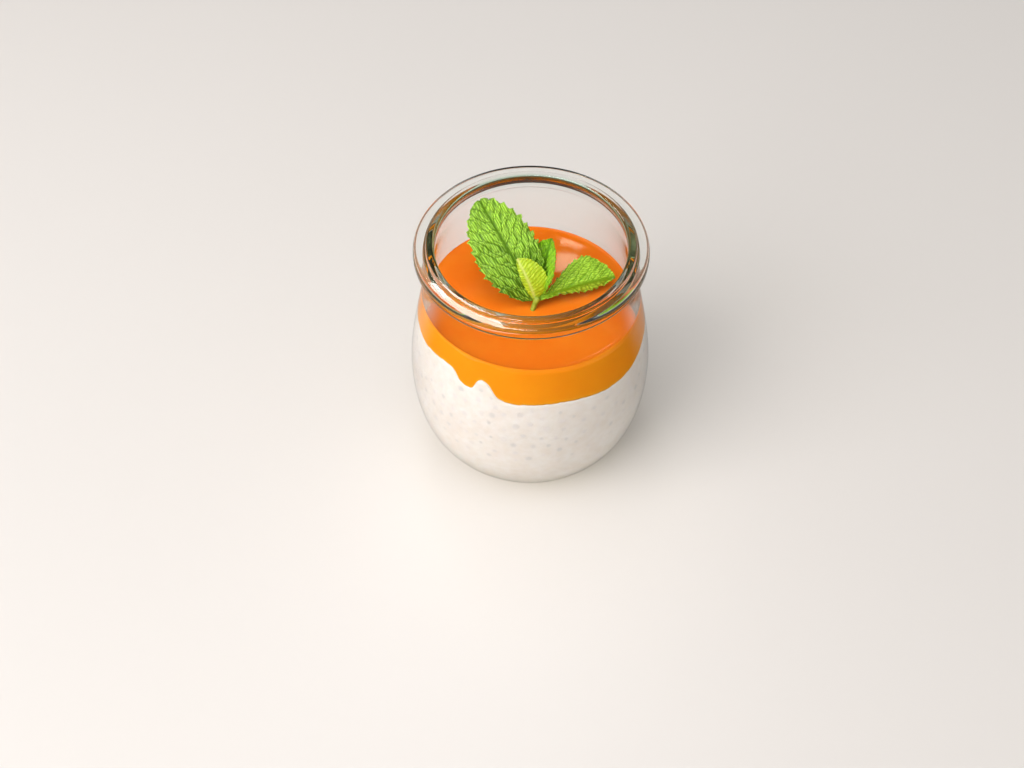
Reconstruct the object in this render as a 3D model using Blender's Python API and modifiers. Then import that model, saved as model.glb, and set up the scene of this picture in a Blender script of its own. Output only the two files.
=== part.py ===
"""Tapioca pudding under mango puree in a small glass preserving jar, with a sprig of mint.

Units are metres and +Z is up. The origin is the middle of the jar's foot, and -Y is the front.
"""
import math

import bmesh
import bpy
import numpy as np
from mathutils import Vector
from mathutils.geometry import interpolate_bezier

MM = 0.001

# Jar, a tulip-shaped preserving jar of about 220 ml with a flat rim for its lid
JAR_HEIGHT = 80.0 * MM
RIM_RADIUS = 33.5 * MM
RIM_DEPTH = 4.0 * MM
RIM_ROUNDING = 1.7 * MM
MOUTH_RADIUS = 27.3 * MM
MOUTH_ROUNDING = 1.2 * MM
NECK_RADIUS = 30.3 * MM
BELLY_RADIUS = 36.0 * MM
BELLY_HEIGHT = 32.0 * MM
FOOT_RADIUS = 20.0 * MM
FOOT_RING = 2.0 * MM
PUNT_DEPTH = 1.2 * MM
WALL = 2.85 * MM
FLOOR_HEIGHT = 5.5 * MM
FLOOR_RADIUS = 14.0 * MM
JAR_STEPS = 60

# The walls are curves: the points they pass, and how far each point's handle reaches
FLOOR_HANDLE = 17.5 * MM
INNER_BELLY_RAISE = 1.0 * MM
INNER_BELLY_HANDLES = (12.0 * MM, 15.0 * MM)
MOUTH_SEAT = 0.8 * MM
MOUTH_SEAT_DEPTH = 7.0 * MM
NECK_DROP = 1.0 * MM
NECK_HANDLE = 13.0 * MM
NECK_FLARE = 0.1 * MM
OUTER_BELLY_HANDLES = (16.0 * MM, 13.5 * MM)
FOOT_EDGE_HEIGHT = 0.45 * MM
FOOT_HANDLE = 10.0 * MM
FOOT_HANDLE_HEIGHT = 4.2 * MM
FOOT_CHAMFER = 0.8 * MM
PUNT_SHOULDER = 0.8
INNER_POINTS = (8, 6)
OUTER_POINTS = (6, 8)

# Contents, with the free gap that every two touching pieces keep
GAP = 0.3 * MM
PUREE_LEVEL = 58.3 * MM
PUREE_LEAN = 2.0 * MM
PUREE_LEAN_TOWARDS = -120.0
MENISCUS = 0.6 * MM
PUDDING_CORE_HEIGHT = 50.0 * MM
PUDDING_EDGE_START = 40.0 * MM
CONTENT_STEPS = 90
CONTENT_RINGS = 5
ANGLES = np.arange(CONTENT_STEPS) * 2 * math.pi / CONTENT_STEPS
RING_SHARES = [math.sqrt((i + 1) / CONTENT_RINGS) for i in range(CONTENT_RINGS)]

# Where the pudding ends on the glass: degrees round the jar, height in millimetres
PUDDING_EDGE = (
    (-180, 51.3), (-158, 51.2), (-142, 52.8), (-134, 53.0), (-129, 50.2), (-122, 49.3), (-118, 52.8),
    (-115, 53.8), (-110, 51.2), (-103, 48.0), (-90, 47.6), (-70, 47.5), (-48, 45.7), (-32, 45.5),
    (-12, 47.2), (30, 47.5), (80, 48.5), (130, 50.0),
)

# Mint: the stem, then the values of each leaf. Widths and folds are those of its two halves,
# and a fold in degrees raises a half towards the side that the leaf faces.
STEM_RADIUS = 0.75 * MM
STEM_FOOT = Vector((0.2, -6.6, 55.6)) * MM
STEM_BEND = Vector((0.3, -5.9, 58.6)) * MM
STEM_TOP = Vector((2.1, -4.3, 62.2)) * MM
LEAF_THICKNESS = 0.7 * MM
LEAF_ROWS = 18
LEAF_COLUMNS = 6
LEAF_TOOTH = 0.05
LEAF_TEETH_FROM = 0.15
LEAF_TEETH_TO = 0.95
LEAVES = {
    "leaf_tall": dict(
        base=(1.9, -4.2, 61.4), tip=(-14.8, 16.0, 81.2), face=(0.0, -0.7, 0.7), bow=2.0, blunt=0.5,
        half_widths=(9.8, 8.4), widest=0.5, folds=(16, 16), curl=0.1, wave=0.35, waves=9,
    ),
    "leaf_front": dict(
        base=(1.4, -4.6, 61.2), tip=(-4.0, 1.2, 72.4), face=(0.3, -0.75, 0.6), bow=1.9, blunt=0.6,
        half_widths=(1.6, 5.2), widest=0.5, folds=(-25, 20), curl=0.0, wave=0.15, waves=6,
    ),
    "leaf_back": dict(
        base=(2.4, -3.2, 61.6), tip=(6.0, 7.0, 74.8), face=(-0.5, -0.6, 0.5), bow=0.6, blunt=0.7,
        half_widths=(5.6, 5.2), widest=0.5, folds=(24, 34), curl=0.0, wave=0.2, waves=6,
    ),
    "leaf_right": dict(
        base=(2.5, -4.2, 61.6), tip=(24.8, 4.8, 61.0), face=(-0.1, -0.45, 0.9), bow=2.6, blunt=0.85,
        half_widths=(7.6, 1.6), widest=0.64, folds=(12, -55), curl=0.0, wave=0.3, waves=8,
    ),
}


def clear_scene():
    """Remove the scene's objects and leave one collection for the parts and one for the cutters."""
    for thing in list(bpy.data.objects):
        bpy.data.objects.remove(thing, do_unlink=True)
    parts = bpy.data.collections.new("tapioca_pudding_jar")
    cutters = bpy.data.collections.new("cutters")
    for group in (parts, cutters):
        bpy.context.scene.collection.children.link(group)
    return parts, cutters


def material(name, colour, roughness, transmission=0.0):
    """A Principled material with its colour, roughness and clearness."""
    made = bpy.data.materials.new(name)
    made.use_nodes = True
    shader = made.node_tree.nodes["Principled BSDF"]
    shader.inputs["Base Color"].default_value = (*colour, 1.0)
    shader.inputs["Roughness"].default_value = roughness
    shader.inputs["Metallic"].default_value = 0.0
    shader.inputs["Transmission Weight"].default_value = transmission
    made.diffuse_color = (*colour, 1.0)
    return made


def add_object(name, data, group):
    """An object that holds the mesh or curve, in its collection."""
    made = bpy.data.objects.new(name, data)
    group.objects.link(made)
    return made


def applied(source):
    """The object's evaluated mesh in world space, with the object itself removed."""
    graph = bpy.context.evaluated_depsgraph_get()
    mesh = bpy.data.meshes.new_from_object(source.evaluated_get(graph))
    mesh.transform(source.matrix_world)
    bpy.data.objects.remove(source, do_unlink=True)
    return mesh


def arc(centre, radius, start, end, count):
    """Points on a circular arc in the XZ plane, from one angle in degrees to another."""
    angles = [math.radians(start + (end - start) * i / (count - 1)) for i in range(count)]
    return [Vector((centre[0] + radius * math.cos(a), 0, centre[1] + radius * math.sin(a))) for a in angles]


def bezier(start, start_handle, end_handle, end, count):
    """Points on a Bezier curve in the XZ plane, each given as radius and height."""
    corners = [Vector((p[0], 0, p[1])) for p in (start, start_handle, end_handle, end)]
    return interpolate_bezier(*corners, count)


def inner_wall(lower_count, upper_count):
    """The inner side from the floor's edge up to the neck, through the belly."""
    belly = BELLY_RADIUS - WALL
    below, above = INNER_BELLY_HANDLES
    low = (FLOOR_RADIUS, FLOOR_HEIGHT)
    low_handle = (FLOOR_RADIUS + FLOOR_HANDLE, FLOOR_HEIGHT)
    belly_point = (belly, BELLY_HEIGHT + INNER_BELLY_RAISE)
    neck = (MOUTH_RADIUS + MOUTH_SEAT, JAR_HEIGHT - MOUTH_SEAT_DEPTH)
    neck_handle = (neck[0], neck[1] - NECK_HANDLE)
    lower = bezier(low, low_handle, (belly, BELLY_HEIGHT - below), belly_point, lower_count)
    upper = bezier(belly_point, (belly, BELLY_HEIGHT + above), neck_handle, neck, upper_count)
    return lower + upper[1:]


def outer_wall(upper_count, lower_count):
    """The outer side from the neck down to the foot, through the belly."""
    below, above = OUTER_BELLY_HANDLES
    neck = (NECK_RADIUS, JAR_HEIGHT - RIM_DEPTH - NECK_DROP)
    neck_handle = (NECK_RADIUS + NECK_FLARE, neck[1] - NECK_HANDLE)
    belly_point = (BELLY_RADIUS, BELLY_HEIGHT)
    foot = (FOOT_RADIUS + FOOT_RING, FOOT_EDGE_HEIGHT)
    foot_handle = (foot[0] + FOOT_HANDLE, FOOT_HANDLE_HEIGHT)
    upper = bezier(neck, neck_handle, (BELLY_RADIUS, BELLY_HEIGHT + above), belly_point, upper_count)
    lower = bezier(belly_point, (BELLY_RADIUS, BELLY_HEIGHT - below), foot_handle, foot, lower_count)
    return upper + lower[1:]


def jar_profile():
    """The jar's half section: up the inner side, over the rim, down the outer side, to the punt."""
    floor_middle = [Vector((0, 0, FLOOR_HEIGHT))]
    lip_top = JAR_HEIGHT - MOUTH_ROUNDING
    lip = arc((MOUTH_RADIUS + MOUTH_ROUNDING, lip_top), MOUTH_ROUNDING, 200, 90, 5)
    edge = RIM_RADIUS - RIM_ROUNDING
    rim_top = arc((edge, JAR_HEIGHT - RIM_ROUNDING), RIM_ROUNDING, 90, 0, 4)
    rim_under = arc((edge, JAR_HEIGHT - RIM_DEPTH + RIM_ROUNDING), RIM_ROUNDING, 0, -75, 4)
    underside = [
        Vector((FOOT_RADIUS + FOOT_CHAMFER, 0, 0)),
        Vector((FOOT_RADIUS - FOOT_RING, 0, 0)),
        Vector((FOOT_RADIUS - 2 * FOOT_RING, 0, PUNT_SHOULDER * PUNT_DEPTH)),
        Vector((0, 0, PUNT_DEPTH)),
    ]
    inside = floor_middle + inner_wall(*INNER_POINTS) + lip
    return inside + rim_top + rim_under + outer_wall(*OUTER_POINTS) + underside


def turned(name, profile, steps, group):
    """A solid turned about Z from a half section that starts and ends on the axis."""
    mesh = bpy.data.meshes.new(name)
    mesh.from_pydata(profile, [(i, i + 1) for i in range(len(profile) - 1)], [])
    made = add_object(name, mesh, group)
    screw = made.modifiers.new("Turn", "SCREW")
    screw.axis = "Z"
    screw.steps = screw.render_steps = steps
    screw.use_merge_vertices = True
    screw.merge_threshold = 0.05 * MM
    screw.use_smooth_shade = True
    return made


def wall_radius(height):
    """The contents' outer radius at each height: the inner wall's, less the gap."""
    points = inner_wall(*INNER_POINTS)
    return np.interp(height, [p.z for p in points], [p.x for p in points]) - GAP


def pudding_edge(azimuth):
    """The height on the glass where the pudding ends, at angles in degrees."""
    angles, heights = zip(*PUDDING_EDGE)
    return np.interp(azimuth, angles, heights, period=360) * MM


def pudding_top(azimuth, share):
    """The pudding's upper surface: even in the middle, meeting the glass at its uneven edge."""
    return PUDDING_CORE_HEIGHT + (pudding_edge(azimuth) - PUDDING_CORE_HEIGHT) * share ** 3


def puree_top(azimuth, share):
    """The puree's upper surface: a slight lean, and a narrow meniscus up the glass."""
    lean = PUREE_LEAN * share * np.cos(np.radians(azimuth - PUREE_LEAN_TOWARDS))
    return PUREE_LEVEL + lean + MENISCUS * share ** 16


def lofted(name, top, rings, bottom, group):
    """A closed solid of rings, given as radii and heights at every angle, between its two middles."""
    tool = bmesh.new()
    rows = []
    for radii, heights in rings:
        spots = np.stack([radii * np.cos(ANGLES), radii * np.sin(ANGLES), heights], axis=1)
        rows.append([tool.verts.new(spot) for spot in spots])
    first = tool.verts.new((0, 0, top))
    last = tool.verts.new((0, 0, bottom))
    for i in range(CONTENT_STEPS):
        tool.faces.new((first, rows[0][i - 1], rows[0][i]))
        tool.faces.new((last, rows[-1][i], rows[-1][i - 1]))
        for upper, lower in zip(rows, rows[1:]):
            tool.faces.new((upper[i - 1], lower[i - 1], lower[i], upper[i]))
    mesh = bpy.data.meshes.new(name)
    tool.to_mesh(mesh)
    tool.free()
    return add_object(name, mesh, group)


def make_pudding(group):
    """The pudding: it fills the jar up to its uneven edge."""
    azimuth = np.degrees(ANGLES)
    edge = pudding_edge(azimuth)
    rings = [(share * wall_radius(edge), pudding_top(azimuth, share)) for share in RING_SHARES]
    for share in (0.5, 0.0):
        height = PUDDING_EDGE_START + (edge - PUDDING_EDGE_START) * share
        rings.append((wall_radius(height), height))
    bowl = [p for p in reversed(inner_wall(*INNER_POINTS)) if p.z < PUDDING_EDGE_START - 2 * MM]
    rings += [(np.full(CONTENT_STEPS, p.x - GAP), np.full(CONTENT_STEPS, p.z + GAP)) for p in bowl]
    return lofted("tapioca_pudding", PUDDING_CORE_HEIGHT, rings, FLOOR_HEIGHT + GAP, group)


def make_puree(group, stem_cutter):
    """The puree: its underside follows the pudding, and it is cut round the stem."""
    azimuth = np.degrees(ANGLES)
    contact = puree_top(azimuth, 1.0)
    edge = pudding_edge(azimuth) + GAP
    middle = (contact + edge) / 2
    rings = [(share * wall_radius(contact), puree_top(azimuth, share)) for share in RING_SHARES]
    rings.append((wall_radius(middle), middle))
    for share in reversed(RING_SHARES):
        rings.append((share * wall_radius(edge), pudding_top(azimuth, share) + GAP))
    made = lofted("mango_puree", PUREE_LEVEL, rings, PUDDING_CORE_HEIGHT + GAP, group)
    cut = made.modifiers.new("Stem hole", "BOOLEAN")
    cut.operation = "DIFFERENCE"
    cut.object = stem_cutter
    return made


def leaf_row(values, middle, tangent, face, share):
    """The points across a leaf at one place along its midrib: toothed, folded, curled and waved."""
    side = tangent.cross(face).normalized()
    normal = side.cross(tangent)
    power = math.log(0.5) / math.log(values["widest"])
    shape = max(math.sin(math.pi * share ** power), 0) ** values["blunt"]
    if LEAF_TEETH_FROM < share < LEAF_TEETH_TO:
        shape *= 1 + LEAF_TOOTH * (-1) ** round(share * LEAF_ROWS + 1)
    points = []
    for column in range(LEAF_COLUMNS + 1):
        v = 2 * column / LEAF_COLUMNS - 1
        half = int(v > 0)
        width = max(values["half_widths"][half] * MM * shape, STEM_RADIUS * (1 - 0.5 * share))
        fold = math.tan(math.radians(values["folds"][half])) * min(1, 5 * share)
        rise = width * abs(v) * fold - values["curl"] * width * v * v
        phase = math.pi * (values["waves"] * share + abs(v))
        ripple = values["wave"] * MM * math.sin(phase) * abs(v) * math.sqrt(share)
        points.append(middle + side * width * v + normal * (rise + ripple))
    return points


def leaf_sheet(name, values, group):
    """A leaf as a thin solid on a bowed midrib, with both faces split into the same triangles."""
    base = Vector(values["base"]) * MM
    tip = Vector(values["tip"]) * MM
    along = (tip - base).normalized()
    face = Vector(values["face"])
    face = (face - along * face.dot(along)).normalized()
    lift = face * values["bow"] * MM
    near, far = base.lerp(tip, 1 / 3) + lift, base.lerp(tip, 2 / 3) + lift
    midrib = interpolate_bezier(base, near, far, tip, LEAF_ROWS + 1)
    points = []
    for row, middle in enumerate(midrib):
        tangent = (midrib[min(row + 1, LEAF_ROWS)] - midrib[max(row - 1, 0)]).normalized()
        points += leaf_row(values, middle, tangent, face, row / LEAF_ROWS)
    span = LEAF_COLUMNS + 1
    corners = [row * span + column for row in range(LEAF_ROWS) for column in range(LEAF_COLUMNS)]
    mesh = bpy.data.meshes.new(name)
    mesh.from_pydata(points, [], [(i, i + 1, i + span + 1, i + span) for i in corners])
    tool = bmesh.new()
    tool.from_mesh(mesh)
    bmesh.ops.triangulate(tool, faces=tool.faces[:], quad_method="FIXED")
    tool.to_mesh(mesh)
    tool.free()
    made = add_object(name, mesh, group)
    wall = made.modifiers.new("Thickness", "SOLIDIFY")
    wall.thickness = LEAF_THICKNESS
    wall.offset = 0
    return made


def stem_mesh(name, radius, points, group):
    """A round rod along a bent line, as a closed mesh."""
    curve = bpy.data.curves.new(name, "CURVE")
    curve.dimensions = "3D"
    curve.bevel_depth = radius
    curve.bevel_resolution = 2
    curve.use_fill_caps = True
    line = curve.splines.new("POLY")
    line.points.add(len(points) - 1)
    for spot, point in zip(line.points, points):
        spot.co = (*point, 1)
    mesh = applied(add_object(name, curve, group))
    tool = bmesh.new()
    tool.from_mesh(mesh)
    bmesh.ops.remove_doubles(tool, verts=tool.verts[:], dist=0.01 * MM)
    tool.to_mesh(mesh)
    tool.free()
    return add_object(name, mesh, group)


def keep_largest_shell(mesh):
    """Fill hollows that the union sealed and drop its scraps: only the largest shell stays."""
    tool = bmesh.new()
    tool.from_mesh(mesh)
    left = set(tool.verts)
    shells = []
    while left:
        shell = {left.pop()}
        front = list(shell)
        while front:
            spot = front.pop()
            near = {edge.other_vert(spot) for edge in spot.link_edges} & left
            left -= near
            shell |= near
            front.extend(near)
        shells.append(shell)
    shells.sort(key=len)
    for shell in shells[:-1]:
        bmesh.ops.delete(tool, geom=list(shell), context="VERTS")
    tool.to_mesh(mesh)
    tool.free()


def stem_line():
    """The middle of the stem, from its foot in the puree up to the leaves."""
    return interpolate_bezier(STEM_FOOT, STEM_BEND, STEM_BEND.lerp(STEM_TOP, 0.5), STEM_TOP, 7)


def make_stem_cutter(group):
    """The room that the puree leaves round the stem, a gap wider and deeper than the stem."""
    line = stem_line()
    start = line[0] + (line[0] - line[1]).normalized() * GAP
    made = stem_mesh("stem_clearance", STEM_RADIUS + GAP, [start] + line, group)
    made.hide_render = True
    made.display_type = "WIRE"
    return made


def make_sprig(group, loose):
    """The mint sprig: four leaves grown onto one stem."""
    made = stem_mesh("mint_sprig", STEM_RADIUS, stem_line(), group)
    for name, values in LEAVES.items():
        leaf_sheet(name, values, loose)
    grow = made.modifiers.new("Leaves", "BOOLEAN")
    grow.operation = "UNION"
    grow.operand_type = "COLLECTION"
    grow.collection = loose
    grow.solver = "MANIFOLD"
    mesh = applied(made)
    keep_largest_shell(mesh)
    for leaf in list(loose.objects):
        bpy.data.objects.remove(leaf, do_unlink=True)
    return add_object("mint_sprig", mesh, group)


def smooth(made, degrees):
    """Smooth shading, with edges sharper than the angle kept crisp."""
    made.data.shade_smooth()
    made.data.set_sharp_from_angle(angle=math.radians(degrees))


def main():
    """Build the jar, its two layers and the sprig."""
    parts, cutters = clear_scene()
    leaves = bpy.data.collections.new("leaves")
    bpy.context.scene.collection.children.link(leaves)

    jar = turned("glass_jar", jar_profile(), JAR_STEPS, parts)
    jar.data.materials.append(material("clear_glass", (0.93, 0.96, 0.94), 0.03, 0.95))

    pudding = make_pudding(parts)
    pudding.data.materials.append(material("cream_pudding", (0.86, 0.83, 0.77), 0.35))

    puree = make_puree(parts, make_stem_cutter(cutters))
    puree.data.materials.append(material("mango_puree", (0.90, 0.32, 0.03), 0.2))

    sprig = make_sprig(parts, leaves)
    sprig.data.materials.clear()
    sprig.data.materials.append(material("mint_green", (0.13, 0.36, 0.04), 0.45))
    for piece in (pudding, puree, sprig):
        smooth(piece, 40)
    bpy.data.collections.remove(leaves)


main()
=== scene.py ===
import math

import bpy
import numpy as np
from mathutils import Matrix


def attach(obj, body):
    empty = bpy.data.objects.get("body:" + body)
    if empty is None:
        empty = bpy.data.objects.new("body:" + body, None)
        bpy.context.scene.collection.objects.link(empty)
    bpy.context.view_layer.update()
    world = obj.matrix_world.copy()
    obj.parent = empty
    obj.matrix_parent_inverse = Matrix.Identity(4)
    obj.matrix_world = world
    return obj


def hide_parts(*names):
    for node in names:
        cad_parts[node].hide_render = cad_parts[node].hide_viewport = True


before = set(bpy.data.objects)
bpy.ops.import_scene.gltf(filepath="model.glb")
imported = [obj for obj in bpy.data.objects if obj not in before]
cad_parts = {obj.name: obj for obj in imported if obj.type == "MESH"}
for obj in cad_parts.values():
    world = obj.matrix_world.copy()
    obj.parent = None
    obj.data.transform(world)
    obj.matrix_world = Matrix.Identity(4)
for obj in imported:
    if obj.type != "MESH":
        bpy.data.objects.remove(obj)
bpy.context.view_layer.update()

mm = 0.001
print("frame loaded:", ", ".join(sorted(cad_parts)))


# Meshes from arrays

def addPiece(name, points, faces, materials, smooth=True):
    mesh = bpy.data.meshes.new(name)
    mesh.from_pydata(points.tolist(), [], faces)
    for material in materials:
        mesh.materials.append(material)
    mesh.polygons.foreach_set("use_smooth", np.full(len(mesh.polygons), smooth))
    mesh.update()
    piece = bpy.data.objects.new(name, mesh)
    bpy.context.scene.collection.objects.link(piece)
    return piece


def addValues(piece, label, values):
    # one number for each point, which the piece's material reads
    attribute = piece.data.attributes.new(label, "FLOAT", "POINT")
    attribute.data.foreach_set("value", np.asarray(values, dtype=np.float32).ravel())


def gridFaces(rows, columns, closed=False):
    # quads between neighbouring rows of a grid; a closed grid joins its last column to its first
    last = columns if closed else columns - 1
    row, column = np.meshgrid(np.arange(rows - 1), np.arange(last), indexing="ij")
    beside = (column + 1) % columns
    corners = (row * columns + column, row * columns + beside,
               (row + 1) * columns + beside, (row + 1) * columns + column)
    return np.stack([c.ravel() for c in corners], axis=1)


def loftPiece(name, top, radii, heights, bottom, materials):
    # rings given as radius and height over rows and angles, closed by one point at each end
    rows, steps = radii.shape
    turn = np.arange(steps) * 2 * math.pi / steps
    rings = np.stack([radii * np.cos(turn), radii * np.sin(turn), heights], axis=2).reshape(-1, 3)
    points = np.vstack([rings, [(0, 0, top), (0, 0, bottom)]])
    step = np.arange(steps)
    following = (step + 1) % steps
    first, last = rows * steps, rows * steps + 1
    topFan = np.stack([np.full(steps, first), step, following], axis=1)
    bottomFan = np.stack([np.full(steps, last), (rows - 1) * steps + following,
                          (rows - 1) * steps + step], axis=1)
    quads = gridFaces(rows, steps, closed=True)[:, ::-1]
    faces = quads.tolist() + topFan.tolist() + bottomFan.tolist()
    return addPiece(name, points, faces, materials)


def bezier(start, startHandle, endHandle, end, share):
    # the cubic blend of four points, at shares from 0 to 1
    t = np.asarray(share)[:, None]
    corners = [np.asarray(p, float) for p in (start, startHandle, endHandle, end)]
    weights = ((1 - t) ** 3, 3 * (1 - t) ** 2 * t, 3 * (1 - t) * t ** 2, t ** 3)
    return sum(weight * corner for weight, corner in zip(weights, corners))


def unit(vector):
    return vector / np.linalg.norm(vector, axis=-1, keepdims=True)


def smoothStep(low, high, value):
    # 0 below low, 1 above high, and an easy curve between them
    t = np.clip((value - low) / (high - low), 0, 1)
    return t * t * (3 - 2 * t)


# Shader maths: a socket that takes part in arithmetic

class Wire:
    def __init__(self, shader, made, socket):
        self.shader = shader
        self.made = made
        self.socket = socket

    def out(self, name):
        return Wire(self.shader, self.made, self.made.outputs[name])

    def __add__(self, other):
        return self.shader.reckon("ADD", self, other)

    def __radd__(self, other):
        return self.shader.reckon("ADD", other, self)

    def __sub__(self, other):
        return self.shader.reckon("SUBTRACT", self, other)

    def __rsub__(self, other):
        return self.shader.reckon("SUBTRACT", other, self)

    def __mul__(self, other):
        return self.shader.reckon("MULTIPLY", self, other)

    def __rmul__(self, other):
        return self.shader.reckon("MULTIPLY", other, self)


class Shader:
    def __init__(self, name, constants, world=None):
        # the nodes of a new material, or of the world where one is given
        self.material = world or bpy.data.materials.new(name)
        self.material.use_nodes = True
        self.tree = self.material.node_tree
        self.surface = self.tree.nodes["Background" if world else "Principled BSDF"]
        self.shown = Wire(self, self.surface, self.surface.outputs[0])
        self.ending = self.tree.nodes["World Output" if world else "Material Output"]
        for socket, value in constants.items():
            self.surface.inputs[socket].default_value = value

    def node(self, kind, settings=None, inputs=None):
        # one node: its settings first, then the values or links of its sockets
        made = self.tree.nodes.new(kind)
        for setting, value in (settings or {}).items():
            if setting == "stops":
                ramp = made.color_ramp
                while len(ramp.elements) < len(value):
                    ramp.elements.new(0.5)
                for element, (place, colour) in zip(ramp.elements, value):
                    element.position = place
                    element.color = (*colour, 1.0)
            else:
                setattr(made, setting, value)
        for socket, value in (inputs or {}).items():
            self.put(made.inputs[socket], value)
        return Wire(self, made, made.outputs[0])

    def put(self, socket, value):
        if isinstance(value, Wire):
            self.tree.links.new(value.socket, socket)
        else:
            socket.default_value = value

    def reckon(self, operation, first, second):
        return self.node("ShaderNodeMath", {"operation": operation}, {0: first, 1: second})

    def mirrored(self):
        # 1 on a ray that has been mirrored on its way from the camera, else 0
        return self.reckon("MINIMUM", self.node("ShaderNodeLightPath").out("Glossy Depth"), 1.0)

    def attribute(self, label):
        return self.node("ShaderNodeAttribute", {"attribute_name": label}).out("Fac")

    def place(self):
        return self.node("ShaderNodeTexCoord").out("Object")

    def noise(self, where, scale, detail=2.0, roughness=0.5):
        # soft cloudy values from 0 to 1, with features of about 1 / scale
        inputs = {"Vector": where, "Scale": scale, "Detail": detail, "Roughness": roughness}
        return self.node("ShaderNodeTexNoise", None, inputs)

    def ramp(self, value, stops):
        return self.node("ShaderNodeValToRGB", {"stops": stops}, {"Fac": value})

    def mix(self, factor, first, second, blend="MIX"):
        settings = {"data_type": "RGBA", "blend_type": blend}
        return self.node("ShaderNodeMix", settings, {0: factor, 6: first, 7: second}).out("Result")

    def blend(self, share, first, second):
        # two shaders, by the second one's share
        return self.node("ShaderNodeMixShader", None, {0: share, 1: first, 2: second})

    def stepped(self, value, low, high, toLow=0.0, toHigh=1.0):
        # an easy curve from one value at low to another at high
        settings = {"interpolation_type": "SMOOTHSTEP"}
        inputs = {0: value, 1: low, 2: high, 3: toLow, 4: toHigh}
        return self.node("ShaderNodeMapRange", settings, inputs)

    def bump(self, height, distance, strength):
        inputs = {"Height": height, "Distance": distance, "Strength": strength}
        self.put(self.surface.inputs["Normal"], self.node("ShaderNodeBump", None, inputs))

    def feed(self, **wires):
        for socket, wire in wires.items():
            self.put(self.surface.inputs[socket.replace("_", " ")], wire)


# Camera at the height and slope of the photograph

camera = dict(place=(-5.44 * mm, -313.48 * mm, 395.4 * mm), pitch=50.3, focal=1572, width=1024)


def makeCamera():
    data = bpy.data.cameras.new("camera")
    data.sensor_fit = "HORIZONTAL"
    data.sensor_width = 36
    data.lens = camera["focal"] / camera["width"] * data.sensor_width
    data.clip_start = 0.01
    made = bpy.data.objects.new("camera", data)
    made.location = camera["place"]
    made.rotation_euler = (math.radians(90 - camera["pitch"]), 0, 0)
    bpy.context.scene.collection.objects.link(made)
    bpy.context.scene.camera = made


makeCamera()
print("camera set")


# Soft studio, in metres: a large light on the front left, a pale floor and a room dim towards the back

studio = dict(
    floorColour=(0.79, 0.76, 0.725), floorSize=4.0, floorDrop=0.05 * mm, glassBounces=16,
    mirroredNear=(0.55, 0.54, 0.52, 1.0), mirroredFront=(0.03, 0.03, 0.03, 1.0),
    frontDepths=(0.04, 0.0), frontReaches=(0.045, 0.075),
    roomStops=[(0.1, (0.38, 0.37, 0.355)), (0.8, (0.66, 0.66, 0.67))],
    dimTowards=(0.0, 0.80, 0.60), dimShares=(0.45, 0.85), dimBefore=(-0.2, -0.6),
    dimColour=(0.05, 0.05, 0.05), lightsAim=(0.0, 0.0, 0.04),
    lights=(
        dict(name="windowLight", place=(-0.62, -0.42, 0.60), size=(0.7, 0.6), power=6.1,
             colour=(1.0, 0.96, 0.945), mirrored=False, lighting=True, through=False),
        dict(name="windowGleam", place=(-0.62, -0.42, 0.60), size=(0.5, 0.4), power=6.0,
             colour=(1.0, 1.0, 1.0), mirrored=True, lighting=False, through=False),
        dict(name="rimGlint", place=(-0.030, 0.106, 0.302), size=(0.050, 0.130), power=0.40,
             colour=(1.0, 1.0, 1.0), mirrored=True, lighting=False, through=False),
        dict(name="ceilingLight", place=(-0.15, -0.15, 1.2), size=(1.0, 1.0), power=6.2,
             colour=(1.0, 0.98, 0.96), mirrored=False, lighting=True, through=False),
        dict(name="pureeGlow", place=(0.0248, 0.134, 0.151), size=(0.009, 0.009), power=0.0024,
             colour=(1.0, 0.90, 0.66), mirrored=True, lighting=False, through=True),
    ),
)


def makeRoom():
    # dim at the horizon, so that glass edges draw dark lines, and brighter overhead
    world = bpy.data.worlds.new("room")
    room = Shader("room", {}, world)
    where = room.node("ShaderNodeTexCoord").out("Generated")
    parts = room.node("ShaderNodeSeparateXYZ", None, {0: where})
    light = room.ramp(parts.out("Z"), studio["roomStops"])
    # the wall and ceiling behind are dim, so that the puree's level face mirrors little
    settings = {"operation": "DOT_PRODUCT"}
    facing = room.node("ShaderNodeVectorMath", settings, {0: where, 1: studio["dimTowards"]})
    behind = room.stepped(facing.out("Value"), *studio["dimShares"])
    # and the room before the jar is dim where the front of the glass would mirror it
    low, high = studio["dimBefore"]
    before = room.node("ShaderNodeMapRange", None, {0: parts.out("Y"), 1: low, 2: high})
    dimmed = room.reckon("MAXIMUM", behind, room.mirrored() * before)
    room.put(room.surface.inputs["Color"], room.mix(dimmed, light, (*studio["dimColour"], 1.0)))
    bpy.context.scene.world = world


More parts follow.
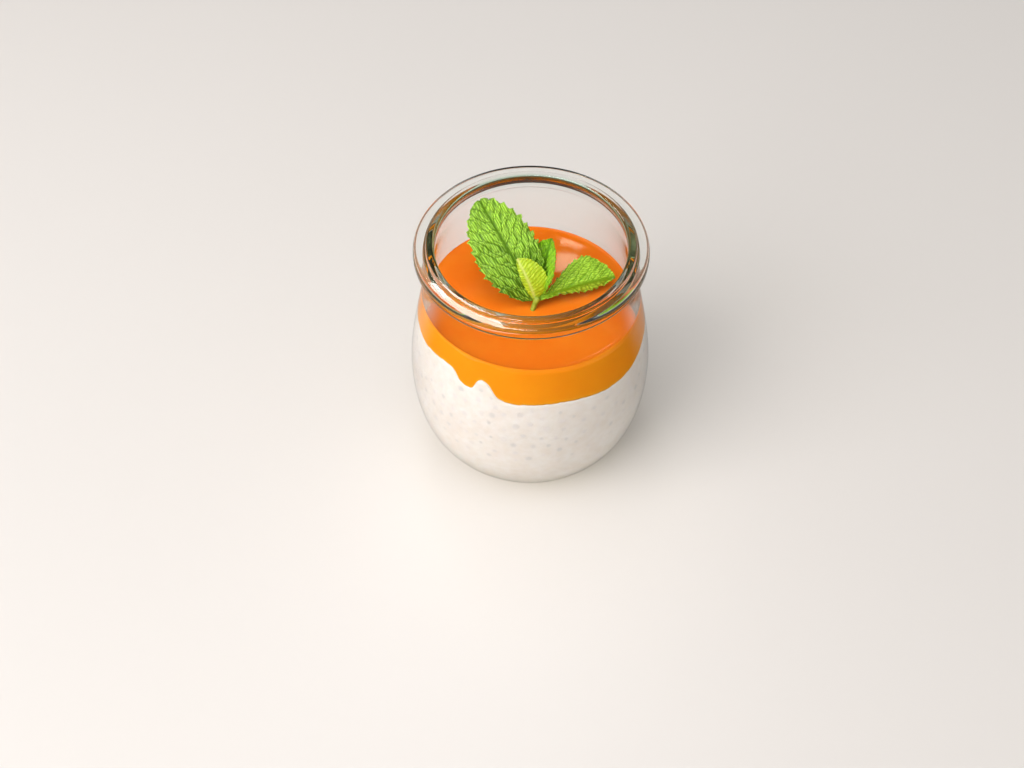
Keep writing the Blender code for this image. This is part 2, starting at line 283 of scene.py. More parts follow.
def makeStudio():
    floorShader = Shader("paleFloor", {"Roughness": 0.5})
    cloud = floorShader.noise(floorShader.place(), 3.0, 3.0)
    base = studio["floorColour"]
    darker = tuple(c * 0.985 for c in base)
    floorShader.feed(Base_Color=floorShader.ramp(cloud, [(0.3, darker), (0.7, base)]))
    # the floor before the jar hardly mirrors in the front of the glass
    where = floorShader.place()
    depth = floorShader.node("ShaderNodeSeparateXYZ", None, {0: where}).out("Y")
    reach = floorShader.node("ShaderNodeVectorMath", {"operation": "LENGTH"}, {0: where}).out("Value")
    before = floorShader.stepped(depth, *studio["frontDepths"])
    before = before * floorShader.stepped(reach, *studio["frontReaches"])
    near, front = (floorShader.node("ShaderNodeBsdfDiffuse", None, {"Color": studio[key]})
                   for key in ("mirroredNear", "mirroredFront"))
    dimmed = floorShader.blend(before, near, front)
    shown = floorShader.blend(floorShader.mirrored(), floorShader.shown, dimmed)
    floorShader.put(floorShader.ending.inputs["Surface"], shown)
    half, drop = studio["floorSize"] / 2, -studio["floorDrop"]
    points = np.array([(x * half, y * half, drop) for x, y in ((-1, -1), (1, -1), (1, 1), (-1, 1))])
    floor = addPiece("floor", points, [(0, 1, 2, 3)], [floorShader.material], smooth=False)
    makeRoom()
    for values in studio["lights"]:
        data = bpy.data.lights.new(values["name"], "AREA")
        data.shape = "RECTANGLE"
        data.size, data.size_y = values["size"]
        data.energy = values["power"]
        data.color = values["colour"]
        lamp = bpy.data.objects.new(values["name"], data)
        lamp.location = values["place"]
        aim = np.array(studio["lightsAim"]) - np.array(values["place"])
        flat = math.hypot(aim[0], aim[1])
        lamp.rotation_euler = (math.atan2(flat, -aim[2]), 0, math.atan2(-aim[0], aim[1]))
        lamp.visible_camera = False
        lamp.visible_glossy = values["mirrored"]
        lamp.visible_transmission = values["through"]
        lamp.visible_diffuse = values["lighting"]
        bpy.context.scene.collection.objects.link(lamp)
    bpy.context.scene.view_settings.view_transform = "Standard"
    bpy.context.scene.cycles.glossy_bounces = studio["glassBounces"]
    bpy.context.scene.cycles.max_bounces = studio["glassBounces"]


makeStudio()
print("studio set")


# Glass jar, in millimetres: radius and height

jar = dict(
    # the main sizes
    height=80.0, bellyRadius=36.0, bellyHeight=32.0, neckRadius=30.3, wall=2.85,
    rimRadius=33.5, rimDepth=4.0, mouthRadius=27.3, footRadius=20.0, footRing=2.0, puntDepth=1.2,
    floorHeight=5.5, floorRadius=14.0,
    # the lip and the lid's seat
    seatRadius=30.0, seatDrop=0.6, seatSlope=(0.35, 0.1), mouthStep=(4.8, 4.1), mouthDraft=0.05,
    neckStep=0.8, neckDepth=7.0, neckFillet=(0.2, 1.0),
    lipRounding=(0.35, 0.35, 1.1, 0.3, 0.3, 1.5, 1.6, 0.35), lipPoints=9,
    # the handles of the wall's curves
    neckHandle=13.0, neckFlare=0.1, innerRaise=1.0, innerHandles=(12.0, 15.0),
    outerHandles=(13.5, 16.0), floorHandle=17.5, footHandle=(10.0, 4.2),
    # the foot and the hollow under it
    footEdge=0.45, footChamfer=0.8, puntShoulder=0.8, puntFlat=4.0,
    footRounding=(0.5, 0.5, 1.2), footPoints=7,
    # points below and above the belly, and steps round the jar
    wallPoints=(40, 36), steps=240,
    # painted shade: the dark green line at the lip's inner edge
    edgeShadeGreen=(0.06, 0.40, 0.12), edgeInset=0.4, edgeSpread=0.5,
)
jar["neckInside"] = jar["mouthRadius"] + jar["neckStep"]


def innerWall(lower, upper):
    # from the floor's edge up through the belly to the neck: two curves, as the real glass swells
    belly, neck = jar["bellyRadius"] - jar["wall"], jar["neckInside"]
    floorHeight, floorRadius, widest = jar["floorHeight"], jar["floorRadius"], jar["bellyHeight"]
    middle, neckHeight = widest + jar["innerRaise"], jar["height"] - jar["neckDepth"]
    below, above = jar["innerHandles"]
    low = bezier((floorRadius, floorHeight), (floorRadius + jar["floorHandle"], floorHeight),
                 (belly, widest - below), (belly, middle), np.linspace(0, 1, lower))
    high = bezier((belly, middle), (belly, widest + above),
                  (neck, neckHeight - jar["neckHandle"]), (neck, neckHeight), np.linspace(0, 1, upper))
    return np.vstack([low, high[1:]])


def outerWall(upper, lower):
    # from the neck down through the belly to the foot
    neck, neckHeight = jar["neckRadius"], jar["height"] - jar["rimDepth"] - jar["neckFillet"][1]
    belly, middle, foot = jar["bellyRadius"], jar["bellyHeight"], jar["footRadius"] + jar["footRing"]
    above, below = jar["outerHandles"]
    handleOut, handleHeight = jar["footHandle"]
    high = bezier((neck, neckHeight), (neck + jar["neckFlare"], neckHeight - jar["neckHandle"]),
                  (belly, middle + above), (belly, middle), np.linspace(0, 1, upper))
    low = bezier((belly, middle), (belly, middle - below), (foot + handleOut, handleHeight),
                 (foot, jar["footEdge"]), np.linspace(0, 1, lower))
    return np.vstack([high, low[1:]])


def roundedLine(points, rounding, count):
    # a broken line whose inner corners are replaced by short curves
    points = np.asarray(points, float)
    share = np.linspace(0, 1, count)
    pieces = [points[:1]]
    for before, corner, after, radius in zip(points, points[1:], points[2:], rounding):
        start = corner + (before - corner) / np.linalg.norm(before - corner) * radius
        end = corner + (after - corner) / np.linalg.norm(after - corner) * radius
        pieces.append(bezier(start, (start + 2 * corner) / 3, (end + 2 * corner) / 3, end, share))
    pieces.append(points[-1:])
    return np.vstack(pieces)


def jarProfile():
    # the half section: up the inside, over the lip, the seat and the rim, down the outside to the punt
    top, mouth, rim = jar["height"], jar["mouthRadius"], jar["rimRadius"]
    seat, under = top - jar["seatDrop"], top - jar["rimDepth"]
    stepLow, stepHigh = jar["mouthStep"]
    seatIn, seatOut = jar["seatSlope"]
    filletOut, filletDown = jar["neckFillet"]
    draft = jar["mouthDraft"]
    lip = [
        (jar["neckInside"], top - jar["neckDepth"]), (jar["neckInside"] - draft, top - stepLow),
        (mouth + draft, top - stepHigh), (mouth, top), (jar["seatRadius"] - seatIn, top),
        (jar["seatRadius"] + seatOut, seat), (rim, seat), (rim, under),
        (jar["neckRadius"] + filletOut, under), (jar["neckRadius"], under - filletDown),
    ]
    lip = roundedLine(lip, jar["lipRounding"], jar["lipPoints"])
    ring, outer = jar["footRadius"] - jar["footRing"], jar["footRadius"] + jar["footRing"]
    foot = [
        (outer, jar["footEdge"]), (jar["footRadius"] + jar["footChamfer"], 0), (ring, 0),
        (ring - jar["footRing"], jar["puntShoulder"] * jar["puntDepth"]),
        (jar["puntFlat"], jar["puntDepth"]),
    ]
    foot = roundedLine(foot, jar["footRounding"], jar["footPoints"])
    low, high = jar["wallPoints"]
    return np.vstack([innerWall(low, high)[:-1], lip, outerWall(high, low)[1:-1], foot]) * mm


def makeJar():
    glass = Shader("clearGlass", {
        "Transmission Weight": 1.0, "IOR": 1.52, "Specular Tint": (0.5, 0.5, 0.5, 1.0),
    })
    where = glass.place()
    cloud = glass.noise(where, 60.0, 2.0)
    clear = glass.ramp(cloud, [(0.3, (0.985, 0.995, 0.99)), (0.7, (0.995, 1.0, 0.997))])
    # painted shade: a dark green line mixed into the glass's colour at the lip's inner edge
    green = (*jar["edgeShadeGreen"], 1.0)
    glass.feed(Base_Color=glass.mix(glass.attribute("edge") * 0.9, clear, green))
    glass.feed(Roughness=glass.stepped(glass.noise(where, 220.0, 3.0), 0.45, 0.75, 0.0, 0.02))
    glass.bump(glass.noise(where, 45.0, 1.0), 0.02 * mm, 0.5)
    # light on its way to the contents goes straight through
    rays = glass.node("ShaderNodeLightPath")
    straight = glass.node("ShaderNodeBsdfTransparent", None, {"Color": (0.99, 0.975, 0.955, 1.0)})
    shown = glass.shown
    for ray in ("Is Shadow Ray", "Is Diffuse Ray"):
        shown = glass.blend(rays.out(ray), shown, straight)
    glass.put(glass.ending.inputs["Surface"], shown)
    # the green that shows where the glass is seen along its length
    inputs = {"Color": (0.60, 0.74, 0.42, 1.0), "Density": 13.0}
    glass.put(glass.ending.inputs["Volume"], glass.node("ShaderNodeVolumeAbsorption", None, inputs))

    profile = jarProfile()
    radii = np.repeat(profile[:, :1], jar["steps"], axis=1)
    heights = np.repeat(profile[:, 1:], jar["steps"], axis=1)
    # the profile starts on the inside, so the first fan closes the floor and the last the punt
    floorTop, punt = jar["floorHeight"] * mm, jar["puntDepth"] * mm
    piece = loftPiece("glassJar", floorTop, radii, heights, punt, [glass.material])
    # painted shade: a dark green line at the lip's inner edge, standing in for the glass's green seen along
    # its length and a dark reflection there
    inner, top = jar["mouthRadius"] + jar["edgeInset"], jar["height"] - jar["edgeInset"]
    away = (profile[:, 0] / mm - inner) ** 2 + (profile[:, 1] / mm - top) ** 2
    edge = np.repeat(np.exp(-away / jar["edgeSpread"]), jar["steps"])
    addValues(piece, "edge", np.append(edge, (0, 0)))
    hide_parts("glass_jar")
    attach(piece, "root")


makeJar()
print("jar made")


# Contents, in millimetres

contents = dict(
    # the pudding and the mango layer reach a little into the glass, so that no air shows between
    intoWall=0.12, steps=720, rings=26,
    # the mango layer
    pureeLevel=58.3, pureeLean=2.0, leanTowards=-120.0, pureeWaves=0.5, meniscus=0.5, meniscusPower=36,
    pureeSkin=0.03, pureeGap=0.05, thinRim=0.35, topCrowding=1.6, sideCrowding=0.6, pureeSideRings=19,
    # the pudding
    core=50.0, bowlPower=3, edgeCrumbs=0.22, edgeEasing=1.2, sideRings=16, sideFoot=30.0, bowlTop=29.0,
    # its edge on the glass: directions round the jar in degrees, and heights
    edge=(
        (-180, 51.3), (-167, 51.3), (-158, 51.1), (-150, 52.0), (-142, 52.8), (-136, 53.1),
        (-133, 52.6), (-131, 51.6), (-129.4, 50.2), (-126.4, 49.6), (-124, 49.2), (-121, 49.3),
        (-119.8, 51.0), (-118.8, 53.0), (-117, 53.6), (-115.5, 53.9), (-113.5, 53.4), (-112, 52.7),
        (-110, 51.1), (-108, 49.3), (-105.5, 48.4), (-102.7, 47.9), (-97, 47.6), (-84, 47.7),
        (-74, 47.6), (-66, 47.2), (-57, 46.4), (-48, 45.7), (-38, 45.5), (-29, 45.6), (-21, 46.4),
        (-12, 47.2), (8, 47.9), (30, 47.5), (52, 48.3), (80, 48.5), (104, 49.4), (130, 50.0), (156, 50.9),
    ),
)


def wallRadius(height):
    # the radius of the contents at a height: the glass's inside and a little into it
    line = innerWall(60, 60)
    return np.interp(height, line[:, 1], line[:, 0]) + contents["intoWall"]


def ripple(azimuth, seed, waves, size):
    # a sum of sines round the jar, with random phases
    draw = np.random.default_rng(seed)
    total = np.zeros_like(azimuth)
    for wave in waves:
        total += np.sin(np.radians(azimuth) * wave + draw.uniform(0, 2 * math.pi)) * draw.uniform(0.5, 1)
    return total * size / len(waves)


def puddingEdge(azimuth):
    # the height on the glass where the pudding ends: the named points, eased, with small crumbs of edge
    angles, heights = np.array(contents["edge"]).T
    spread = np.linspace(-contents["edgeEasing"], contents["edgeEasing"], 7)
    eased = sum(np.interp(azimuth + s, angles, heights, period=360) for s in spread) / len(spread)
    return eased + ripple(azimuth, 3, (23, 37, 61, 97), contents["edgeCrumbs"])


def puddingTop(azimuth, share):
    # nearly level in the middle, and curving to the edge's height at the glass
    rise = puddingEdge(azimuth) - contents["core"]
    return contents["core"] + rise * share ** contents["bowlPower"]


def pureeTop(azimuth, share):
    # a slight lean, broad faint waves and a narrow meniscus up the glass
    lean = contents["pureeLean"] * share * np.cos(np.radians(azimuth - contents["leanTowards"]))
    waves = share * (1 - share) * ripple(azimuth + 200 * share, 8, (1, 2, 3, 5), contents["pureeWaves"])
    rim = contents["meniscus"] * share ** contents["meniscusPower"]
    return contents["pureeLevel"] + lean + waves + rim


def makePudding():
    cream = Shader("creamPudding", {
        "Subsurface Weight": 0.35, "Subsurface Radius": (1.0, 0.85, 0.7), "Subsurface Scale": 2 * mm,
    })
    where = cream.place()
    cloud = cream.noise(where, 160.0, 3.0, 0.6)
    speck = cream.noise(where, 520.0, 2.0)
    colour = cream.ramp(cloud, [(0.35, (0.945, 0.86, 0.83)), (0.65, (0.975, 0.905, 0.89))])
    deeper = cream.ramp(speck, [(0.4, (0.95, 0.93, 0.90)), (0.62, (1.0, 1.0, 1.0))])
    cream.feed(Base_Color=cream.mix(0.5, colour, deeper, "MULTIPLY"), Roughness=0.3 + cloud * 0.25)
    cream.bump(cloud, 0.1 * mm, 0.25)

    azimuth = np.arange(contents["steps"]) * 360 / contents["steps"]
    edge = puddingEdge(azimuth)
    shares = np.linspace(0, 1, contents["rings"] + 1)[1:]
    top = [(share * wallRadius(edge), puddingTop(azimuth, share)) for share in shares]
    side = []
    foot = contents["sideFoot"]
    for share in np.linspace(1, 0, contents["sideRings"])[1:]:
        height = foot + (edge - foot) * share
        side.append((wallRadius(height), height))
    # below, the pudding follows the glass's inside down to its floor
    bowl = innerWall(60, 60)
    bowl = bowl[(bowl[:, 1] < contents["bowlTop"])][::-1]
    around = np.ones_like(azimuth)
    low = [((radius + contents["intoWall"]) * around, (height - contents["intoWall"]) * around)
           for radius, height in bowl[::2]]
    rings = np.array(top + side + low) * mm
    piece = loftPiece("creamyPudding", contents["core"] * mm, rings[:, 0], rings[:, 1],
                      (jar["floorHeight"] - contents["intoWall"]) * mm, [cream.material])
    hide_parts("tapioca_pudding")
    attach(piece, "root")


pearls = dict(
    radius=1.45, sizes=(0.7, 1.15), spacing=3.2, depth=0.72, depths=(0.85, 1.2), seed=11, attempts=9000,
    heights=(7, 53), belowEdge=0.8, tilts=(20, 38, 62, 100, 140), sides=8, shownTilts=(62, 18),
    stretch=(0.88, 1.12), proud=0.015, strengths=(0.15, 1.0),
)


def pearlBall(tilts, sides):
    # a ball of radius 1 about the first axis: rings of points at tilts from its outer pole, in degrees
    tilt = np.radians(tilts)[:, None]
    turn = np.arange(sides) * 2 * math.pi / sides
    rings = np.stack([np.cos(tilt) + 0 * turn, np.sin(tilt) * np.cos(turn),
                      np.sin(tilt) * np.sin(turn)], axis=2)
    points = np.vstack([rings.reshape(-1, 3), [(1, 0, 0), (-1, 0, 0)]])
    step = np.arange(sides)
    following = (step + 1) % sides
    count = len(tilts) * sides
    last = count - sides
    quads = gridFaces(len(tilts), sides, closed=True)[:, ::-1]
    outer = np.stack([np.full(sides, count), step, following], axis=1)
    inner = np.stack([np.full(sides, count + 1), last + following, last + step], axis=1)
    # the grey shows on the outer end alone
    shown = smoothStep(*pearls["shownTilts"], np.array(tilts, float))
    return points, quads, np.vstack([outer, inner]), np.append(np.repeat(shown, sides), (1, 0))


def makePearls():
    # swollen pearls pressed flat against the glass, in a loose even scatter
    pearl = Shader("tapiocaPearls", {
        "Subsurface Weight": 0.5, "Subsurface Radius": (1.0, 0.9, 0.75), "Subsurface Scale": 1 * mm,
        "Roughness": 0.3,
    })
    cloud = pearl.noise(pearl.place(), 300.0, 2.0)
    grey = pearl.ramp(cloud, [(0.3, (0.79, 0.735, 0.72)), (0.7, (0.86, 0.80, 0.785))])
    pearl.feed(Base_Color=pearl.mix(pearl.attribute("shown"), (0.955, 0.87, 0.86, 1.0), grey))
    draw = np.random.default_rng(pearls["seed"])
    spots = np.empty((0, 3))
    sizes = []
    for attempt in range(pearls["attempts"]):
        azimuth, height = draw.uniform(-180, 180), draw.uniform(*pearls["heights"])
        size = pearls["radius"] * draw.uniform(*pearls["sizes"])
        if height > float(puddingEdge(np.array([azimuth]))[0]) - size - pearls["belowEdge"]:
            continue
        reach = float(wallRadius(height)) - size * pearls["depth"] * draw.uniform(*pearls["depths"])
        turn = math.radians(azimuth)
        spot = np.array((reach * math.cos(turn), reach * math.sin(turn), height))
        if len(spots) and np.min(np.linalg.norm(spots - spot, axis=1)) < pearls["spacing"]:
            continue
        spots = np.vstack([spots, spot])
        sizes.append(size)
    ball, quads, fans, outward = pearlBall(pearls["tilts"], pearls["sides"])
    count = len(spots)
    away = spots * (1, 1, 0) / np.linalg.norm(spots[:, :2], axis=1)[:, None]
    around = np.stack([-away[:, 1], away[:, 0], 0 * away[:, 0]], axis=1)
    frames = np.stack([away, around, np.tile((0, 0, 1.0), (count, 1))], axis=1)
    stretch = draw.uniform(*pearls["stretch"], (count, 1, 3))
    points = spots[:, None] + (ball * stretch * np.array(sizes)[:, None, None]) @ frames
    points = points.reshape(-1, 3)
    # nothing reaches further out than a hair beyond the pudding's own face
    radius = np.linalg.norm(points[:, :2], axis=1)
    limit = wallRadius(points[:, 2]) + pearls["proud"]
    points[:, :2] *= (np.minimum(radius, limit) / radius)[:, None]
    offset = (np.arange(count) * len(ball))[:, None, None]
    faces = (quads[None] + offset).reshape(-1, 4).tolist()
    faces += (fans[None] + offset).reshape(-1, 3).tolist()
    piece = addPiece("tapiocaPearls", points * mm, faces, [pearl.material], smooth=False)
    strength = np.repeat(draw.uniform(*pearls["strengths"], count) ** 1.5, len(ball))
    addValues(piece, "shown", np.tile(outward, count) * strength)
    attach(piece, "root")
    print("pearls:", count)


def makePuree():
    mango = Shader("mangoPuree", {
        "Subsurface Weight": 0.2, "Subsurface Radius": (1.0, 0.45, 0.1), "Subsurface Scale": 2 * mm,
        "Specular IOR Level": 0.3,
    })
    where = mango.place()
    cloud = mango.noise(where, 90.0, 3.0, 0.55)
    top = mango.ramp(cloud, [(0.3, (0.97, 0.190, 0.008)), (0.7, (1.0, 0.240, 0.013))])
    drift = mango.noise(where, 28.0, 2.0)
    # painted light: against the glass the side is a lighter, yellower copy of the top's colour, with a
    # painted glow where it thins out at the pudding
    drifts = drift * 0.7 + cloud * 0.3
    side = mango.ramp(drifts, [(0.3, (0.98, 0.285, 0.007)), (0.7, (1.0, 0.375, 0.012))])
    # painted glow where the layer thins out at the pudding
    side = mango.mix(mango.attribute("thin") * 0.8, side, (1.0, 0.50, 0.045, 1.0))
    mango.feed(Base_Color=mango.mix(mango.attribute("onGlass"), top, side))
    mango.feed(Roughness=0.05 + cloud * 0.05)
    mango.bump(mango.noise(where, 90.0, 2.0), 0.1 * mm, 0.15)

    azimuth = np.arange(contents["steps"]) * 360 / contents["steps"]
    contact = pureeTop(azimuth, 1.0)
    edge = puddingEdge(azimuth)
    # rings crowd towards the glass, where the meniscus is
    shares = 1 - (1 - np.linspace(0, 1, contents["rings"] + 1)[1:]) ** contents["topCrowding"]
    rings = [(share * wallRadius(contact), pureeTop(azimuth, share)) for share in shares]
    onGlass = [np.full_like(edge, 0.0 if share < 1 else 0.6) for share in shares]
    thin = [np.zeros_like(edge) for share in shares]
    lower = np.linspace(1, 0, contents["pureeSideRings"])[1:]
    for share in 1 - (1 - lower) ** contents["sideCrowding"]:
        height = edge + (contact - edge) * share
        rings.append((wallRadius(height) + contents["pureeSkin"], height))
        onGlass.append(np.ones_like(edge))
        # the painted glow, strongest where the layer thins out at the pudding
        thin.append(np.exp(-(height - edge) / contents["thinRim"]))
    # the underside lies a hair below the pudding's top
    for share in shares[-2::-1]:
        rings.append((share * wallRadius(edge), puddingTop(azimuth, share) - contents["pureeGap"]))
        onGlass.append(np.ones_like(edge))
        thin.append(np.ones_like(edge))
    rings = np.array(rings) * mm
    piece = loftPiece("mangoPuree", contents["pureeLevel"] * mm, rings[:, 0], rings[:, 1],
                      (contents["core"] - contents["pureeGap"]) * mm, [mango.material])
    for label, values in (("onGlass", onGlass), ("thin", thin)):
        addValues(piece, label, np.append(np.array(values).ravel(), (0, 1)))
    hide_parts("mango_puree")
    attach(piece, "root")


makePudding()
makePearls()
makePuree()
print("contents made")


# Mint: each leaf's midrib, its two halves and its relief, in millimetres

mint = dict(
    rows=190, columns=130, thickness=0.32, shake=0.42, veinWidth=0.17, ribWidth=0.38, netWidth=0.35,
    cellEdge=0.75, cellShare=0.75, stemRadius=0.75, stemSides=20, stemRows=40,
    stem=((0.2, -6.6, 55.6), (0.3, -5.9, 58.6), (1.2, -5.1, 60.4), (2.1, -4.3, 62.2)),
)
leaves = dict(
    mintLeafTall=dict(
        base=(1.9, -4.2, 61.4), tip=(-14.8, 16.0, 81.2), face=(0.0, -0.7, 0.7), bow=2.0, blunt=0.5,
        halfWidths=(9.8, 8.4), widest=0.5, folds=(16, 16), curl=0.1, wave=0.35, waves=9,
        teeth=12, tooth=1.0, veins=8, sweep=1.6, veinDepth=0.5, columns=2, cell=1.2, pucker=0.72, seed=21,
        shadedGreen=(0.080, 0.19, 0.001), litGreen=(0.46, 0.80, 0.075), furrowShade=(0.085, 0.20, 0.001),
        ribColourAndShade=(0.11, 0.25, 0.001), stalkShade=0.4,
    ),
    mintLeafFront=dict(
        base=(1.4, -4.6, 61.2), tip=(-4.0, 1.2, 72.4), face=(0.3, -0.75, 0.6), bow=1.9, blunt=0.6,
        halfWidths=(1.6, 5.2), widest=0.5, folds=(-25, 20), curl=0.0, wave=0.15, waves=6,
        teeth=9, tooth=0.25, veins=15, sweep=0.35, veinDepth=1.0, columns=1, cell=3.0, pucker=0.24, seed=22,
        shadedGreen=(0.34, 0.50, 0.005), litGreen=(0.62, 0.82, 0.045), furrowShade=(0.34, 0.50, 0.008),
        ribColourAndShade=(0.70, 0.80, 0.20), stalkShade=0.0,
    ),
    mintLeafBack=dict(
        base=(2.4, -3.2, 61.6), tip=(6.0, 7.0, 74.8), face=(-0.5, -0.6, 0.5), bow=0.6, blunt=0.7,
        halfWidths=(5.6, 5.2), widest=0.5, folds=(24, 34), curl=0.0, wave=0.2, waves=6,
        teeth=8, tooth=0.45, veins=8, sweep=1.3, veinDepth=0.5, columns=2, cell=0.9, pucker=0.36, seed=23,
        shadedGreen=(0.11, 0.28, 0.002), litGreen=(0.36, 0.72, 0.02), furrowShade=(0.12, 0.30, 0.002),
        ribColourAndShade=(0.12, 0.30, 0.002), stalkShade=0.1,
    ),
    mintLeafRight=dict(
        base=(2.5, -4.2, 61.6), tip=(24.8, 4.8, 61.0), face=(-0.1, -0.45, 0.9), bow=2.6, blunt=0.85,
        halfWidths=(7.6, 1.6), widest=0.64, folds=(12, -55), curl=0.0, wave=0.3, waves=8,
        teeth=11, tooth=0.5, veins=10, sweep=1.2, veinDepth=0.5, columns=2, cell=1.0, pucker=0.4, seed=24,
        shadedGreen=(0.16, 0.36, 0.003), litGreen=(0.56, 0.90, 0.07), furrowShade=(0.18, 0.38, 0.004),
        ribColourAndShade=(0.20, 0.40, 0.004), stalkShade=0.1,
    ),
)


def veinRelief(along, across, length, width, values):
    # the leaf's relief: side veins run out and forward from a sunken midrib, and between them the blade
    # swells in one or two rows of cells, each the place nearest to one of a shaken lattice of points
    draw = np.random.default_rng(values["seed"])
    spacing = length / values["veins"]
    sine = 1 / math.hypot(1, values["sweep"])
    outward = np.abs(across)
    forward = outward * values["sweep"] * (1 + 0.2 * outward / width)
    # the veins wander a little
    bend = 0.16 * np.sin(across * 1.1 + along * 0.5 + values["seed"])
    bend = bend + 0.12 * np.sin(along * 1.7 - outward)
    phase = (along - forward) / spacing + 0.3 * (across < 0) + bend
    band = spacing * sine
    toVein = np.abs(phase - np.round(phase)) * band
    columns = values["columns"]
    step = band / columns
    first, last = int(phase.min() * columns) - 2, int(phase.max() * columns) + 2
    lastRow = int(width * 1.15 / sine / values["cell"]) + 2
    column, row = np.meshgrid(np.arange(first, last), np.arange(-1, lastRow), indexing="ij")
    shake = mint["shake"]
    seedPhase = (column + 0.5) * step + draw.uniform(-shake, shake, column.shape) * step
    shift = draw.uniform(0, 1, len(column))[:, None] + draw.uniform(-shake, shake, column.shape)
    seedOut = (row + shift) * values["cell"]
    seeds = np.stack([seedPhase.ravel(), seedOut.ravel()], axis=1).astype(np.float32)
    spots = np.stack([(phase * band).ravel(), (outward / sine).ravel()], axis=1).astype(np.float32)
    square = (spots ** 2).sum(axis=1)[:, None] + (seeds ** 2).sum(axis=1)[None] - 2 * spots @ seeds.T
    nearest = np.sqrt(np.maximum(np.partition(square, 1, axis=1)[:, :2], 0))
    gap = (nearest[:, 1] - nearest[:, 0]).reshape(along.shape)
    # a cell rises steeply from the furrow round it and is rounded on top
    cells = 1 - (1 - np.clip(gap / (mint["cellEdge"] * values["cell"]), 0, 1)) ** 2
    sideVein = values["veinDepth"] * np.exp(-(toVein / mint["veinWidth"]) ** 2)
    midrib = np.exp(-(across / mint["ribWidth"]) ** 2)
    net = 1 - smoothStep(0.0, mint["netWidth"], gap)
    swell = 4 * (toVein / band) * (1 - toVein / band)
    height = mint["cellShare"] * cells + (1 - mint["cellShare"]) * swell
    height = height * (1 - 0.7 * sideVein) * (1 - midrib)
    # the second value marks the side veins and the furrows round the cells, which the leaves' materials
    # darken with painted shade
    return values["pucker"] * height, np.clip(0.6 * sideVein + 0.45 * net, 0, 1), midrib


def leafPiece(name, values, materials):
    # a grid over the share along the midrib and the share across, folded at the midrib
    rows, columns = mint["rows"], mint["columns"]
    share = np.linspace(0, 1, rows + 1)
    base, tip = np.array(values["base"]), np.array(values["tip"])
    along = unit(tip - base)
    face = np.array(values["face"], float)
    face = unit(face - along * face.dot(along))
    lift = face * values["bow"]
    midrib = bezier(base, base + (tip - base) / 3 + lift, base + (tip - base) * 2 / 3 + lift, tip, share)
    tangent = unit(np.gradient(midrib, axis=0))
    side = unit(np.cross(tangent, face))
    normal = np.cross(side, tangent)
    length = np.linalg.norm(tip - base)

    u = share[:, None]
    v = np.linspace(-1, 1, columns + 1)[None, :]
    half = (v > 0).astype(int)
    power = math.log(0.5) / math.log(values["widest"])
    shape = np.clip(np.sin(math.pi * u ** power), 0, 1) ** values["blunt"]
    width = np.array(values["halfWidths"])[half] * shape
    width = np.maximum(width, mint["stemRadius"] * (1 - 0.6 * u))
    fold = np.tan(np.radians(np.array(values["folds"])))[half] * np.minimum(1, 5 * u)
    draw = np.random.default_rng(values["seed"] + 50)
    shift = np.array(draw.uniform(0, 1, 2))[half]
    # the teeth of the edge point towards the tip, and fade out at both ends
    saw = (values["teeth"] * u + shift) % 1.0
    tooth = values["tooth"] * (saw ** 1.6 - 0.4) * smoothStep(0.05, 0.2, u) * smoothStep(1.0, 0.96, u)
    across = width * v + np.sign(v) * tooth * np.abs(v) ** 9
    rise = np.abs(across) * fold - values["curl"] * width * v * v
    phase = math.pi * (values["waves"] * u + np.abs(v))
    rise = rise + values["wave"] * np.sin(phase) * np.abs(v) * np.sqrt(u)
    relief, vein, rib = veinRelief(u * length + 0 * v, across, length, max(values["halfWidths"]), values)
    rise = rise + relief * smoothStep(0, 0.08, u)
    points = midrib[:, None] + side[:, None] * across[..., None] + normal[:, None] * rise[..., None]
    faces = gridFaces(rows + 1, columns + 1)
    piece = addPiece(name, points.reshape(-1, 3) * mm, faces.tolist(), materials)
    # painted shade: the blade is darker near its stalk
    shadedAndLitTone = relief / values["pucker"] - values["stalkShade"] * (1 - smoothStep(0.1, 0.65, u))
    for label, data in (("vein", vein), ("rib", rib), ("relief", shadedAndLitTone)):
        addValues(piece, label, data)
    thick = piece.modifiers.new("thickness", "SOLIDIFY")
    thick.thickness = mint["thickness"] * mm
    thick.offset = -1
    thick.material_offset = 1
    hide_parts("mint_sprig")
    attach(piece, "root")


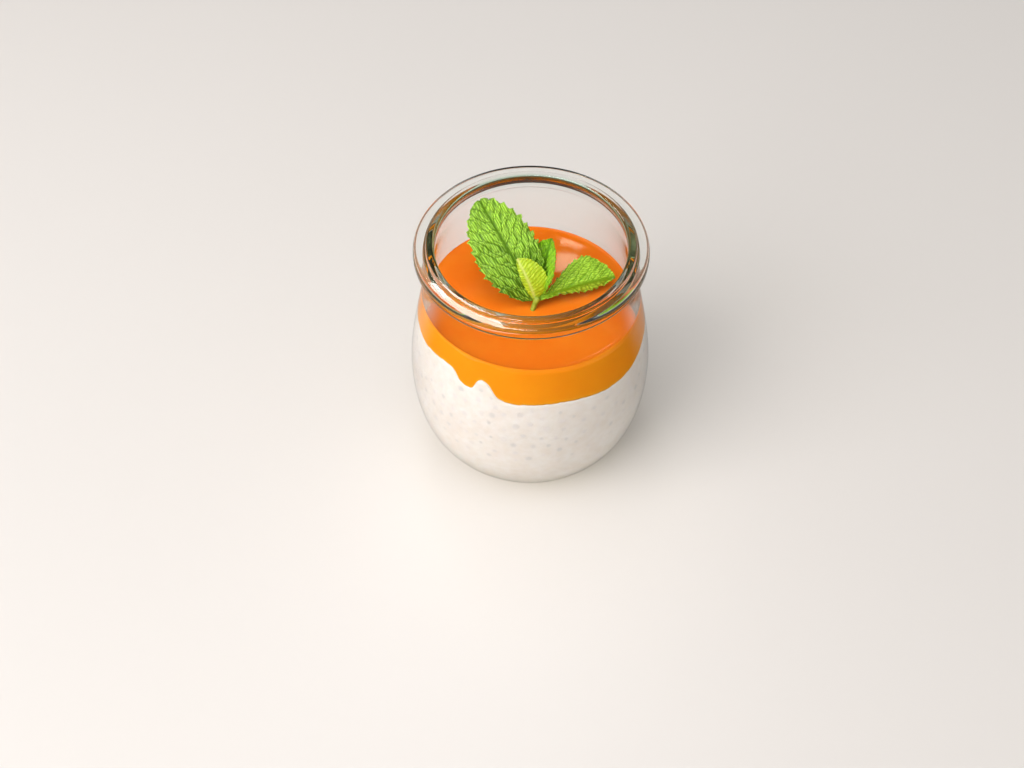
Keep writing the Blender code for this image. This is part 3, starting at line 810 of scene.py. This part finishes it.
def leafShader(name, values, under):
    # painted shade: deep green in the furrows, and painted highlight: light green on the swellings; the
    # underside is paler
    leaf = Shader(name, {
        "Subsurface Weight": 0.15, "Subsurface Radius": (0.6, 1.0, 0.15), "Subsurface Scale": 1 * mm,
        "Specular IOR Level": 0.3,
    })
    where = leaf.place()
    cloud = leaf.noise(where, 300.0, 3.0, 0.6)
    patch = leaf.noise(where, 110.0, 2.0)
    pale = np.array((0.40, 0.55, 0.20)) * 0.4 * under
    shadedGreen, litGreen, furrowShaded, ribbedAndShaded = (tuple((1 - 0.4 * under) * np.array(values[key]) + pale)
                                    for key in ("shadedGreen", "litGreen", "furrowShade", "ribColourAndShade"))
    height = leaf.attribute("relief") * 0.85 + cloud * 0.3 + (patch - 0.5) * 0.5
    # painted shade and highlight: the relief's height picks between the shaded and the lit green
    shadedAndLitTone = leaf.ramp(height, [(0.12, shadedGreen), (0.95, litGreen)])
    # painted shade in the sunken veins and the furrows round the cells
    shadedAndLitTone = leaf.mix(leaf.attribute("vein") * 0.6, shadedAndLitTone, (*furrowShaded, 1.0))
    # the midrib: painted shade in its groove on the tall, back and right leaves, and its own pale green on
    # the front leaf
    leaf.feed(Base_Color=leaf.mix(leaf.attribute("rib") * 0.7, shadedAndLitTone, (*ribbedAndShaded, 1.0)))
    leaf.feed(Roughness=0.36 + cloud * 0.2)
    leaf.bump(leaf.noise(where, 1400.0, 2.0), 0.2 * mm, 0.7)
    return leaf.material


def makeStem():
    stalk = Shader("mintStem", {"Subsurface Weight": 0.1, "Subsurface Scale": 1 * mm})
    where = stalk.place()
    streak = stalk.noise(where, 700.0, 2.0)
    stalk.feed(Base_Color=stalk.ramp(streak, [(0.3, (0.20, 0.30, 0.010)), (0.7, (0.38, 0.48, 0.035))]))
    stalk.feed(Roughness=0.35 + streak * 0.2)
    rows, sides = mint["stemRows"], mint["stemSides"]
    share = np.linspace(0, 1, rows)
    line = bezier(*mint["stem"], share)
    tangent = unit(np.gradient(line, axis=0))
    side = unit(np.cross(tangent, (0.0, 1.0, 0.2)))
    normal = np.cross(side, tangent)
    turn = np.arange(sides) * 2 * math.pi / sides
    # a mint stalk is square with rounded corners, and swells where the leaves leave it
    square = 1 + 0.09 * np.cos(4 * turn)[None, :]
    radius = mint["stemRadius"] * square * (1 + 0.3 * smoothStep(0.6, 0.9, share)[:, None])
    radius[-1] *= 0.4
    points = (line[:, None] + side[:, None] * (radius * np.cos(turn))[..., None]
              + normal[:, None] * (radius * np.sin(turn))[..., None]).reshape(-1, 3)
    points = np.vstack([points, line[:1], line[-1:] + tangent[-1:] * 0.3])
    step = np.arange(sides)
    following = (step + 1) % sides
    last = (rows - 1) * sides
    faces = gridFaces(rows, sides, closed=True).tolist()
    faces += np.stack([np.full(sides, rows * sides), following, step], axis=1).tolist()
    faces += np.stack([np.full(sides, rows * sides + 1), last + step, last + following], axis=1).tolist()
    piece = addPiece("mintStem", points * mm, faces, [stalk.material])
    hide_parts("mint_sprig")
    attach(piece, "root")


for leafName, leafValues in leaves.items():
    upper = leafShader(leafName + "Upper", leafValues, 0)
    under = leafShader(leafName + "Under", leafValues, 1)
    leafPiece(leafName, leafValues, [upper, under])
makeStem()
print("mint made")
